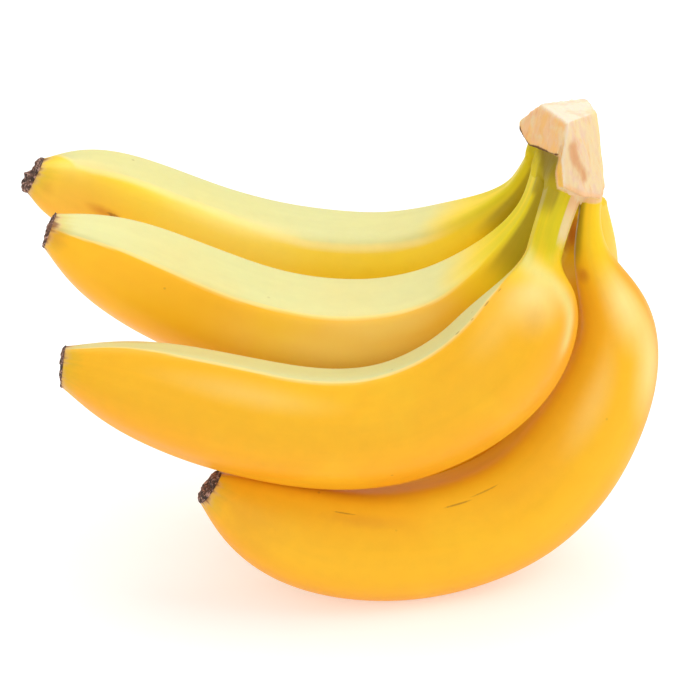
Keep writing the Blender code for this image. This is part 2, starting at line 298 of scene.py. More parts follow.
# Crust of a dry tip: its profile as (share of the depth, share of the radius), then how
# fast it turns rough, the scales of its lumps and how far they move it
CRUST_PROFILE = [(-0.5, 0.90), (-0.2, 0.97), (0.0, 1.0), (0.22, 1.0), (0.42, 0.95),
                 (0.60, 0.87), (0.76, 0.76), (0.88, 0.62), (0.96, 0.47), (1.0, 0.32),
                 (0.97, 0.20), (0.93, 0.08)]
ROUGH_RISE = 3
BROAD_SCALE = 0.22
LUMP_SCALE = 0.75
SMALL_LUMP_SCALE = 1.9
SMALL_LUMP_SHARE = 0.5
BROAD_PUSH = 0.9
CRUST_LEAN = 0.35
LUMP_PUSH = 0.32
LUMP_PUSH_LIMIT = 1.5
LUMP_REACH = 0.05
TIP_SEED = 7
RAY_TURN = 5
RAY_STRETCH = 0.25

# Light: name, direction, distance, size and power of each lamp, all aimed at one point
LAMPS = [("overhead", (-0.15, 0.35, 1.0), 0.9, 0.9, 4.4),
         ("right", (0.9, -0.1, 0.7), 0.9, 0.6, 2.4),
         ("front", (-0.25, -1.0, 0.5), 1.1, 0.9, 2.0)]
LAMP_TARGET = (0, 0, 0.07)
SKY_STRENGTH = 0.64
FLOOR_HALF = 4.0
FLOOR_GREY = 0.74
FLOOR_GLOW = 0.40
SENSOR_WIDTH = 36.0
CLIP_START = 0.01
CLIP_END = 50.0

# Colours, linear
GOLD = (0.92, 0.44, 0.010)
SUNNY = (0.95, 0.60, 0.022)
SHADE_GOLD = (0.90, 0.35, 0.006)
SHEEN_PAINT = (0.67, 0.64, 0.28)
GLEAM = (0.80, 0.73, 0.24)
HIGHLIGHT_PAINT = (0.95, 0.74, 0.26)
BLUSH = (0.88, 0.46, 0.05)
YELLOW = (0.92, 0.62, 0.006)
NECK = (0.68, 0.55, 0.006)
NECK_MEAN = (0.72, 0.56, 0.006)
OLIVE = (0.30, 0.21, 0.008)
TIP_GREEN = (0.62, 0.44, 0.03)
TIP_PINK = (0.72, 0.42, 0.22)
BROWN = (0.20, 0.065, 0.014)
RUSSET = (0.60, 0.20, 0.02)
CRACK_BROWN = (0.10, 0.035, 0.010)
CUT_PALE = (0.86, 0.74, 0.57)
CUT_CREAM = (0.82, 0.63, 0.35)
CUT_YELLOW = (0.86, 0.68, 0.30)
CUT_PINK = (0.80, 0.56, 0.38)
CUT_PEACH = (0.86, 0.50, 0.24)
CUT_ORANGE = (0.90, 0.46, 0.13)
CUT_GOLD = (0.92, 0.55, 0.10)
CUT_DEEP = (0.90, 0.36, 0.07)
CUT_VEIN = (0.66, 0.31, 0.13)
CRUST = (0.050, 0.028, 0.020)
CRUST_BROWN = (0.17, 0.075, 0.045)
CRUST_PINK = (0.62, 0.36, 0.28)

# Share of olive on the shaded sides of the necks, on peel and crown alike, how far the
# peel's streaks are drawn out, how each fruit's noise is shifted by its girth, what the
# tone gives up for the grain added to it, and how far red, green and blue light travels
# in the wax, relative to one another
OLIVE_SHARE = 0.66
STREAK_LENGTHENING = 0.10
PEEL_SEED = (0.37, 0, 0.11)
TONE_OFFSET = 0.03
WAX_REACH = (1.0, 0.45, 0.08)


def to_row(points):
    """Millimetres in the spines' frame to metres in the row frame."""
    return (np.asarray(points, float) - ORIGIN) * MM


def smoothstep(low, high, value):
    """0 below low, 1 above high, smooth between."""
    t = np.clip((value - low) / (high - low), 0.0, 1.0)
    return t * t * (3 - 2 * t)


def spline_points(points, count):
    """Natural cubic curve through the points."""
    p = np.array(points, float)
    last = len(p) - 1
    steps = np.sqrt(np.linalg.norm(np.diff(p, axis=0), axis=1))
    knots = np.concatenate([[0.0], np.cumsum(steps)])
    h = np.diff(knots)
    matrix = np.eye(last + 1)
    right = np.zeros_like(p)
    for i in range(1, last):
        matrix[i, i - 1:i + 2] = (h[i - 1], 2 * (h[i - 1] + h[i]), h[i])
        right[i] = 6 * ((p[i + 1] - p[i]) / h[i] - (p[i] - p[i - 1]) / h[i - 1])
    bend = np.linalg.solve(matrix, right)
    u = np.linspace(0, knots[-1], count)
    j = np.clip(np.searchsorted(knots, u, side="right") - 1, 0, last - 1)
    a = ((knots[j + 1] - u) / h[j])[:, None]
    b = 1 - a
    w = (h[j] ** 2 / 6)[:, None]
    return a * p[j] + b * p[j + 1] + w * ((a ** 3 - a) * bend[j] + (b ** 3 - b) * bend[j + 1])


def spine_frames(points):
    """Dense spine with its arc length, direction, side towards the hollow, and third axis."""
    q = spline_points(points, SPINE_SAMPLES)
    s = np.concatenate([[0.0], np.cumsum(np.linalg.norm(np.diff(q, axis=0), axis=1))])
    along = np.gradient(q, axis=0)
    along /= np.linalg.norm(along, axis=1)[:, None]
    plane = np.linalg.svd(q - q.mean(axis=0), full_matrices=False)[2][2]
    if plane[1] > 0:
        plane = -plane
    third = plane - (along @ plane)[:, None] * along
    third /= np.linalg.norm(third, axis=1)[:, None]
    hollow = np.cross(third, along)
    middle = len(q) // 2
    if hollow[middle] @ ((q[0] + q[-1]) / 2 - q[middle]) < 0:
        hollow = -hollow
    return q, s, along, hollow, third


def radius_at(s, total, fruit):
    """Radius at arc length s: thin neck, shoulder, belly, taper to the blossom end."""
    neck_length, shoulder, taper = fruit["lengths"]
    rise = 1 - np.exp(-(np.maximum(s - neck_length, 0) / shoulder) ** SHOULDER_POWER)
    swell = fruit["neck"] + (1 - fruit["neck"]) * rise
    flare = NECK_FLARE * np.exp(-np.maximum(s, 0) / NECK_FLARE_LENGTH)
    fall = 1 - np.exp(-(np.maximum(total - s, 0) / taper) ** TAPER_POWER)
    close = fruit["end"] + (1 - fruit["end"]) * fall
    return fruit["girth"] * (swell + flare) * close


def section_at(angle, fruit):
    """Unit outline of the rounded polygon section; angle 0 faces the hollow of the bend."""
    total = np.zeros_like(angle)
    for facing, distance in fruit["faces"]:
        total += (np.maximum(np.cos(angle - math.radians(facing)), 0) / distance) ** fruit["crisp"]
    return total ** (-1.0 / fruit["crisp"])


def bulge_at(s, angle, fruit):
    """Extra reach of a blunt swelling, all on the back of the bend."""
    if "bulge" not in fruit:
        return 0.0
    crest, before, after, height = fruit["bulge"]
    length = np.where(s < crest, before, after)
    swell = height * np.exp(-((s - crest) / length) ** 2)
    return swell[:, None] * ((0.5 - 0.5 * np.cos(angle)) ** 2)[None]


class Rings:
    """Rings round a fruit's spine, as arrays over stations and angles."""

    def __init__(self, fruit, stations, sides):
        q, lengths, along, hollow, third = spine_frames(fruit["spine"])
        self.total = lengths[-1]
        inside = np.clip(stations, 0, self.total)

        def at(field):
            return np.stack([np.interp(inside, lengths, field[:, k]) for k in range(3)], -1)

        self.along = at(along)
        self.centre = at(q) + (stations - inside)[:, None] * self.along
        self.angle = np.linspace(0, 2 * math.pi, sides, endpoint=False)
        cos, sin = np.cos(self.angle)[None, :, None], np.sin(self.angle)[None, :, None]
        self.outward = at(hollow)[:, None] * cos + at(third)[:, None] * sin
        radius = radius_at(inside, self.total, fruit)
        self.reach = radius[:, None] * section_at(self.angle, fruit)[None]
        self.reach = self.reach + bulge_at(inside, self.angle, fruit)
        fade = np.exp((inside - self.total) / SLANT_FADE)[:, None]
        self.lean = math.tan(math.radians(fruit["slant"])) * fade * np.cos(self.angle)[None]

    def grid(self, reach, push=0.0):
        """Vertices at the given reach, pushed along the spine."""
        shift = self.lean * self.reach + push
        return (self.centre[:, None] + self.outward * reach[..., None]
                + self.along[:, None] * shift[..., None])


def grid_mesh(name, grid, caps):
    """Closed tube from an array of rings, with the given cap centres."""
    rows, sides = grid.shape[:2]
    vertices = np.concatenate([grid.reshape(-1, 3), np.array(caps)])
    faces = []
    for r in range(rows - 1):
        for i in range(sides):
            j = (i + 1) % sides
            faces.append((r * sides + i, r * sides + j, (r + 1) * sides + j, (r + 1) * sides + i))
    end = (rows - 1) * sides
    for i in range(sides):
        j = (i + 1) % sides
        faces.append((rows * sides, j, i))
        faces.append((rows * sides + 1, end + i, end + j))
    mesh = bpy.data.meshes.new(name)
    mesh.from_pydata(to_row(vertices).tolist(), [], faces)
    work = bmesh.new()
    work.from_mesh(mesh)
    bmesh.ops.recalc_face_normals(work, faces=work.faces)
    work.to_mesh(mesh)
    work.free()
    mesh.shade_smooth()
    return mesh


def add_piece(name, mesh, node):
    """Puts a piece in the scene, riding on the one body in place of its node."""
    piece = bpy.data.objects.new(name, mesh)
    bpy.context.scene.collection.objects.link(piece)
    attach(piece, "root")
    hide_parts(node)
    return piece


def set_attribute(mesh, name, values, kind="FLOAT"):
    """Writes one value or vector to every vertex."""
    layer = mesh.attributes.new(name, kind, "POINT")
    key = "vector" if kind == "FLOAT_VECTOR" else "value"
    layer.data.foreach_set(key, np.asarray(values, np.float32).ravel())


def with_caps(values, first, last):
    """Flattens a ring array and adds the two cap vertices."""
    return np.concatenate([values.reshape(-1), [first, last]])


def angle_from(degrees, middle):
    """Signed distance in degrees from a direction round the section."""
    return (degrees - middle + 180) % 360 - 180


def station_list(total, fruit):
    """Arc lengths of the rings: close together on the neck, shoulder and taper."""
    fine = np.linspace(-NECK_SINK, total, STATION_SAMPLES)
    neck_length, shoulder = fruit["lengths"][:2]
    more, over = SHOULDER_RINGS
    want = 1 + more * np.exp(-((fine - neck_length - 0.5 * shoulder) / over) ** 2)
    more, over = END_RINGS
    want = want + more * np.exp(-(total - fine) / over)
    share = np.concatenate([[0.0], np.cumsum(0.5 * (want[1:] + want[:-1]))])
    return np.interp(np.linspace(0, share[-1], STATIONS), share, fine)


def skin_place(s, degrees):
    """Place on a straightened fruit, in metres, that streaks and spots are painted by."""
    turn = np.radians(degrees)
    return np.stack([np.cos(turn) * BELLY, np.sin(turn) * BELLY, s], -1) * MM


def side_mask(s, degrees, band):
    """Share of a lengthwise side of the neck: round its angle, fading along the fruit."""
    middle, half, soft, fade_start, fade_end = band
    near = 1 - smoothstep(half - soft, half + soft, np.abs(angle_from(degrees, middle)))
    return near * (1 - smoothstep(fade_start, fade_end, s))


def gleam_mask(s, degrees, line):
    """Painted highlight: a pale line over the shoulder."""
    turn = math.radians(1) * BELLY
    places = np.stack([s.ravel(), degrees.ravel() * turn], -1)
    corners = [(along, angle * turn) for along, angle in line]
    return near_line(places, corners, GLEAM_WIDTH).reshape(s.shape)


def painted_sheen_mask(s, degrees, fruit):
    """Painted sheen on the hollow side, up to an edge that wanders along the fruit."""
    stations, edges = np.array(fruit["pale"], float).T
    edge = np.interp(s, stations, edges)
    back, soft = fruit["pale_back"], fruit["pale_soft"]
    turn = angle_from(degrees, 0)
    below = 1 - smoothstep(edge - soft, edge + soft, turn)
    return below * smoothstep(back - SHEEN_BACK_SOFT, back + SHEEN_BACK_SOFT, turn)


def unevenness(stations, angle, girth):
    """Slow lumpiness of a grown fruit, about -1 to 1."""
    field = np.zeros((len(stations), len(angle)))
    for r, s in enumerate(stations):
        for i, a in enumerate(angle):
            round_x, round_y = math.cos(a) * LUMP_TURN, math.sin(a) * LUMP_TURN
            field[r, i] = noise.noise(Vector((round_x, round_y, s / LUMP_LENGTH + girth)))
    return field


def trim_side(grid, stations, fruit, slack=0.0):
    """Keeps the top of a neck behind the knife cut on the right; free beyond its collar."""
    collar = fruit["collar"]
    side = TRIM + slack + TRIM_LEAN * smoothstep(TRIM_START, collar, stations)
    side = side + TRIM_FREE * smoothstep(collar, collar + TRIM_RELEASE, stations)
    grid[..., 0] = np.minimum(grid[..., 0], side[:, None])


def build_banana(name, fruit):
    """One fruit: tube with faint unevenness, and the attributes its peel is painted by."""
    total = spine_frames(fruit["spine"])[1][-1]
    stations = station_list(total, fruit)
    rings = Rings(fruit, stations, SIDES)
    uneven = unevenness(stations, rings.angle, fruit["girth"])
    quiet = smoothstep(0, LUMPS_SET_IN, stations)[:, None]
    grid = rings.grid(rings.reach * (1 + LUMPINESS * uneven * quiet))
    grid[..., 2] = np.maximum(grid[..., 2], GROUND)
    trim_side(grid, stations, fruit, PEEL_SLACK)
    mesh = grid_mesh(name, grid, [rings.centre[0], grid[-1].mean(axis=0)])
    s = np.repeat(stations[:, None], SIDES, axis=1)
    degrees = np.repeat(np.degrees(rings.angle)[None], STATIONS, axis=0)
    caps = np.array([[0, 0, -NECK_SINK], [0, 0, total]]) * MM
    skin = np.concatenate([skin_place(s, degrees).reshape(-1, 3), caps])
    tongues = TONGUE_LENGTH * np.cos(np.radians(TONGUES * degrees))
    masks = {
        "pale": painted_sheen_mask(s, degrees + SHEEN_WANDER * uneven, fruit),
        "yellow": 1 - smoothstep(*fruit["yellow"], s + YELLOW_WANDER * uneven),
        "green": 1 - smoothstep(*fruit["green"], s + GREEN_WANDER * uneven + tongues),
        "shade": np.max([side_mask(s, degrees, band) for band in fruit["shade"]], axis=0),
        "rosy": 1 - smoothstep(*ROSY_RANGE, s),
        "gleam": gleam_mask(s, degrees, fruit["gleam"]) if fruit["gleam"] else 0 * s,
        "strip": side_mask(s, degrees, fruit["strip"]) if fruit["strip"] else 0 * s,
        "deep": smoothstep(*fruit["deep"], np.abs(angle_from(degrees, 0))),
    }
    set_attribute(mesh, "skin", skin, "FLOAT_VECTOR")
    for key, mask in masks.items():
        set_attribute(mesh, key, with_caps(mask, 0, 0))
    set_attribute(mesh, "end", with_caps(total - s, total, 0))
    mesh.materials.append(peel_material(name, fruit))
    add_piece(name + "_peel", mesh, name)


def build_tip(name, fruit, material):
    """Dried flower remains: a ragged plate of crust with a sunken scar."""
    total = spine_frames(fruit["spine"])[1][-1]
    depth = fruit["tip"]
    depths, widths = np.array(CRUST_PROFILE).T
    places = np.linspace(0, len(depths) - 1, TIP_ROWS)
    shares = np.interp(places, range(len(depths)), depths)
    scales = np.interp(places, range(len(depths)), widths)
    rings = Rings(fruit, np.full(TIP_ROWS, total), TIP_SIDES)
    push = np.repeat((depth * shares)[:, None], TIP_SIDES, axis=1)
    reach = rings.reach * scales[:, None]
    seed = fruit["girth"] * TIP_SEED
    for r in range(TIP_ROWS):
        rough = min(1.0, max(0.0, shares[r] * ROUGH_RISE))
        for i, a in enumerate(rings.angle):
            across = reach[r, i]
            spot = Vector((math.cos(a) * across, math.sin(a) * across, seed))
            broad = noise.noise(spot * BROAD_SCALE)
            small = SMALL_LUMP_SHARE * noise.noise(spot * SMALL_LUMP_SCALE)
            lump = noise.noise(spot * LUMP_SCALE) + small
            push[r, i] *= 1 + BROAD_PUSH * broad * rough - CRUST_LEAN * math.cos(a) * rough
            push[r, i] += LUMP_PUSH * lump * rough * min(LUMP_PUSH_LIMIT, depth)
            reach[r, i] *= 1 + LUMP_REACH * lump * rough
    grid = rings.grid(reach, push)
    mesh = grid_mesh(name, grid, [grid[0].mean(axis=0), grid[-1].mean(axis=0)])
    ray = np.repeat(rings.angle[None], TIP_ROWS, axis=0)
    turn = [np.cos(ray) * RAY_TURN, np.sin(ray) * RAY_TURN]
    radial = np.stack([*turn, reach * RAY_STRETCH], -1).reshape(-1, 3) * MM
    radial = np.concatenate([radial, np.zeros((2, 3))])
    set_attribute(mesh, "radial", radial, "FLOAT_VECTOR")
    mesh.materials.append(material)
    tip = name.replace("banana", "dry_tip")
    add_piece(tip + "_crust", mesh, tip)


def hull(points, target):
    """Adds the convex block round some corner points to a bmesh."""
    made = [target.verts.new(to_row(p)) for p in points]
    bmesh.ops.convex_hull(target, input=made)
    unused = [v for v in made if not v.link_faces]
    bmesh.ops.delete(target, geom=unused, context="VERTS")


def hull_tree(points):
    """Search tree over the surface of a convex block."""
    work = bmesh.new()
    hull(points, work)
    tree = BVHTree.FromBMesh(work)
    work.free()
    return tree


def crown_blocks():
    """The crown's blocks and the collar of each neck, still loose, in one mesh."""
    work = bmesh.new()
    for block in (HEAD, PILLAR, CUSHION):
        hull(block, work)
    for fruit in FRUITS.values():
        end = fruit["collar"] + COLLAR_OVERLAP
        stations = np.linspace(-fruit["root"], end, COLLAR_ROWS)
        rings = Rings(fruit, stations, COLLAR_SIDES)
        swell = COLLAR_SWELL - COLLAR_NARROWING * smoothstep(COLLAR_START, end, stations)
        grid = rings.grid(rings.reach * swell[:, None])
        trim_side(grid, stations, fruit)
        made = [[work.verts.new(to_row(p)) for p in row] for row in grid]
        for lower, upper in zip(made[:-1], made[1:]):
            for i in range(COLLAR_SIDES):
                j = (i + 1) % COLLAR_SIDES
                work.faces.new((lower[i], lower[j], upper[j], upper[i]))
        work.faces.new(made[0][::-1])
        work.faces.new(made[-1])
    bmesh.ops.recalc_face_normals(work, faces=work.faces)
    mesh = bpy.data.meshes.new("crown_blocks")
    work.to_mesh(mesh)
    work.free()
    return mesh


def apply_modifiers(piece):
    """Replaces a piece's mesh by what its modifiers make of it."""
    graph = bpy.context.evaluated_depsgraph_get()
    made = bpy.data.meshes.new_from_object(piece.evaluated_get(graph))
    piece.modifiers.clear()
    piece.data = made


def smooth(piece, iterations, group=""):
    """Evens a mesh out, everywhere or by the weights of a vertex group."""
    modifier = piece.modifiers.new("smooth", "SMOOTH")
    modifier.factor = SMOOTHING_SHARE
    modifier.iterations = iterations
    modifier.vertex_group = group
    apply_modifiers(piece)


def vertex_array(mesh, field):
    """Places or normals of all vertices; places in millimetres in the spines' frame."""
    values = np.empty(len(mesh.vertices) * 3)
    mesh.vertices.foreach_get(field, values)
    values = values.reshape(-1, 3)
    return values / MM + ORIGIN if field == "co" else values


def line_distance(points, line):
    """Distance of every point from a line through several corners."""
    best = np.full(len(points), 1e9)
    for a, b in zip(np.array(line[:-1], float), np.array(line[1:], float)):
        t = np.clip((points - a) @ (b - a) / ((b - a) @ (b - a)), 0, 1)
        best = np.minimum(best, np.linalg.norm(points - a - t[:, None] * (b - a), axis=1))
    return best


def near_line(points, line, width):
    """1 on a line through several corners, fading to 0 at a few widths from it."""
    return np.exp(-(line_distance(points, line) / width) ** 2)


def on_block(mesh, block):
    """1 for vertices on the surface of a block, 0 for those away from it."""
    tree = hull_tree(block)
    away = np.array([tree.find_nearest(v.co)[3] for v in mesh.vertices]) / MM
    return 1 - smoothstep(*CUT_REACH, away)


def cut_mask(mesh):
    """1 on the knife cuts of head and pillar, 0 on grown skin."""
    x, y, z = vertex_array(mesh, "co").T
    front = 1 - smoothstep(*CUT_BACK, y)
    left = CUT_LEFT + CUT_LEFT_LEAN * np.maximum(CUT_LEFT_UPRIGHT - z, 0)
    lower = CUT_FOOT + CUT_FOOT_SLOPE * (x - CUT_FOOT_ORIGIN)
    lower = lower + CUT_FOOT_STEP * smoothstep(*CUT_FOOT_STEP_RANGE, x)
    foot = smoothstep(-CUT_LEFT_SOFT, CUT_LEFT_SOFT, x - left)
    foot = foot * smoothstep(-CUT_FOOT_SOFT, CUT_FOOT_SOFT, z - lower)
    below = np.maximum(on_block(mesh, PILLAR), foot)
    return np.maximum(on_block(mesh, HEAD), below * front)


def neck_masks(places):
    """How much each place on the crown belongs to a neck, how much olive painted shade it takes
    and how green it is.
    """
    share = np.zeros(len(places))
    olive = np.zeros(len(places))
    green = np.zeros(len(places))
    for fruit in FRUITS.values():
        q, lengths, along, hollow, third = spine_frames(fruit["spine"])
        height = (places - q[0]) @ along[0]
        step = np.clip(np.searchsorted(lengths, height), 0, len(q) - 1)
        s = np.where(height > 0, lengths[step], height)
        out = places - q[step] - np.where(height > 0, 0, height)[:, None] * along[step]
        across, up = (out * hollow[step]).sum(axis=1), (out * third[step]).sum(axis=1)
        angle = np.arctan2(up, across)
        radius = radius_at(np.maximum(s, 0), lengths[-1], fruit) * section_at(angle, fruit)
        ratio = np.hypot(across, up) / radius
        near = (1 - smoothstep(*NECK_REACH, ratio)) * smoothstep(*NECK_START, s)
        bands = [side_mask(s, np.degrees(angle), band) for band in fruit["shade"]]
        olive = np.where(near > share, np.max(bands, axis=0), olive)
        green = np.where(near > share, 1 - smoothstep(*fruit["green"], s), green)
        share = np.maximum(share, near)
    return share, olive, green


def build_crown(material):
    """Crown fused from its blocks: torn fibres on the cuts, fillets between the necks."""
    piece = add_piece("crown_cut", crown_blocks(), "crown")
    remesh = piece.modifiers.new("fuse", "REMESH")
    remesh.mode = "VOXEL"
    remesh.voxel_size = CROWN_VOXEL * MM
    apply_modifiers(piece)
    cut = cut_mask(piece.data)
    grown = piece.vertex_groups.new(name="grown")
    for index, share in enumerate(cut):
        grown.add([index], float(1 - share), "REPLACE")
    smooth(piece, CUT_SMOOTHING)
    smooth(piece, GROWN_SMOOTHING, "grown")
    mesh = piece.data
    mesh.shade_smooth()
    places, normals = vertex_array(mesh, "co"), vertex_array(mesh, "normal")
    groove = near_line(places, GROOVE, GROOVE_WIDTH) * cut
    crack = near_line(places, CRACK, CRACK_WIDTH)
    foot = near_line(places, FOOT, FOOT_WIDTH)
    arris_highlight = near_line(places, ARRIS, ARRIS_WIDTH) * cut
    from_notch = np.linalg.norm(places - NOTCH, axis=1)
    notch = NOTCH_SHARE * np.exp(-(from_notch / NOTCH_WIDTH) ** 2)
    torn = np.zeros(len(places))
    for index, p in enumerate(places):
        fibre = noise.noise(Vector(p * FIBRE_GRAIN))
        torn[index] = fibre + TEAR_SHARE * noise.noise(Vector(p) * TEAR_GRAIN)
    depth = cut * FIBRE_DEPTH * torn - GROOVE_DEPTH * groove - CRACK_DEPTH * crack * torn
    places = places + normals * depth[:, None]
    mesh.vertices.foreach_set("co", to_row(places).ravel())
    mesh.update()
    x, y, z = places.T
    lit_edge = near_line(places, RIGHT_EDGE, EDGE_WIDTH) * cut
    facing_side = smoothstep(*SIDE_FACING, -normals[:, 0]) * cut
    neck, olive, green = neck_masks(places)
    masks = {
        "neck": neck, "olive": olive, "green": green, "cut": cut, "lit_edge": lit_edge,
        "groove": groove, "crack": np.maximum(crack, notch), "foot": foot, "arris_highlight": arris_highlight,
        "low": 1 - smoothstep(*LOW_TOP, z),
        "stripe": facing_side * (1 - smoothstep(*STRIPE_TOP, z)),
        "left": smoothstep(*FACING, normals @ np.array(LEFT_CUT)) * cut,
        "top": smoothstep(*FACING, normals[:, 2]) * cut,
        "shaded": smoothstep(*SHADED_ACROSS, x) * (1 - smoothstep(*SHADED_BACK, y)),
    }
    for key, mask in masks.items():
        set_attribute(mesh, key, mask)
    mesh.materials.append(material)


class Nodes:
    """Short hand for building one material's node tree."""

    def __init__(self, name):
        self.material = bpy.data.materials.new(name)
        self.material.use_nodes = True
        self.tree = self.material.node_tree
        self.shader = self.tree.nodes["Principled BSDF"]

    def add(self, kind, **settings):
        node = self.tree.nodes.new(kind)
        for key, value in settings.items():
            setattr(node, key, value)
        return node

    def feed(self, socket, value):
        if hasattr(value, "is_output"):
            self.tree.links.new(value, socket)
        else:
            socket.default_value = value

    def attribute(self, name, vector=False):
        node = self.add("ShaderNodeAttribute", attribute_name=name)
        return node.outputs["Vector" if vector else "Fac"]

    def math(self, operation, a, b=0.0, clamp=False):
        node = self.add("ShaderNodeMath", operation=operation, use_clamp=clamp)
        self.feed(node.inputs[0], a)
        self.feed(node.inputs[1], b)
        return node.outputs[0]

    def times(self, a, b):
        """Product, held between 0 and 1."""
        return self.math("MULTIPLY", a, b, clamp=True)

    def plus(self, value, extra, weight):
        """The value and a weighted extra."""
        return self.math("ADD", value, self.math("MULTIPLY", extra, weight))

    def flip(self, value):
        """1 less the value, held between 0 and 1."""
        return self.math("SUBTRACT", 1.0, value, clamp=True)

    def mix(self, factor, a, b):
        node = self.add("ShaderNodeMix", data_type="RGBA")
        self.feed(node.inputs["Factor"], factor)
        self.feed(node.inputs["A"], a if hasattr(a, "is_output") else (*a, 1.0))
        self.feed(node.inputs["B"], b if hasattr(b, "is_output") else (*b, 1.0))
        return node.outputs["Result"]

    def paint(self, base, colour, mask, share=1.0):
        """The base with a colour laid over it by a share of the mask."""
        factor = mask if share == 1.0 else self.times(mask, share)
        return self.mix(factor, base, colour)

    def stretch(self, vector, scale, shift=(0, 0, 0)):
        node = self.add("ShaderNodeMapping")
        self.feed(node.inputs["Vector"], vector)
        node.inputs["Scale"].default_value = scale
        node.inputs["Location"].default_value = shift
        return node.outputs["Vector"]

    def noise(self, vector, scale, detail, rough, distortion=0.0):
        node = self.add("ShaderNodeTexNoise")
        self.feed(node.inputs["Vector"], vector)
        node.inputs["Scale"].default_value = scale
        node.inputs["Detail"].default_value = detail
        node.inputs["Roughness"].default_value = rough
        node.inputs["Distortion"].default_value = distortion
        return node.outputs["Fac"]

    def cells(self, vector, scale):
        """Distance to the nearest random point, and a random number of that point."""
        node = self.add("ShaderNodeTexVoronoi")
        self.feed(node.inputs["Vector"], vector)
        node.inputs["Scale"].default_value = scale
        split = self.add("ShaderNodeSeparateColor")
        self.feed(split.inputs["Color"], node.outputs["Color"])
        return node.outputs["Distance"], split.outputs["Red"]

    def band(self, value, low, high):
        """0 below low, 1 above high, smooth between."""
        node = self.add("ShaderNodeMapRange", interpolation_type="SMOOTHSTEP")
        self.feed(node.inputs["Value"], value)
        node.inputs["From Min"].default_value = low
        node.inputs["From Max"].default_value = high
        return node.outputs["Result"]

    def spot(self, skin, place, soft, ragged):
        """Share of one spot on the peel, with a soft or ragged rim."""
        s, degrees, half_length, half_width, strength = place
        scale = np.array([1 / half_width, 1 / half_width, 1 / half_length]) / MM
        centred = self.stretch(skin, scale, -skin_place(s, degrees) * scale)
        length = self.add("ShaderNodeVectorMath", operation="LENGTH")
        self.feed(length.inputs[0], centred)
        reach = self.math("ADD", length.outputs["Value"], self.times(ragged, SPOT_RAGGED))
        inside = self.flip(self.band(reach, SPOT_CORE - soft, SPOT_RIM))
        return self.times(inside, strength)

    def spots(self, base, colour, skin, places, soft, ragged):
        """The base with a list of spots painted on."""
        for place in places:
            base = self.mix(self.spot(skin, place, soft, ragged), base, colour)
        return base

    def bump(self, height, distance, strength, normal=None):
        node = self.add("ShaderNodeBump")
        self.feed(node.inputs["Height"], height)
        node.inputs["Distance"].default_value = distance
        node.inputs["Strength"].default_value = strength
        if normal is not None:
            self.feed(node.inputs["Normal"], normal)
        return node.outputs["Normal"]

    def waxy(self, weight, scale):
        """Light that enters the surface and leaves it up to scale millimetres away."""
        self.shader.inputs["Subsurface Weight"].default_value = weight
        self.shader.inputs["Subsurface Radius"].default_value = WAX_REACH
        self.shader.inputs["Subsurface Scale"].default_value = scale * MM


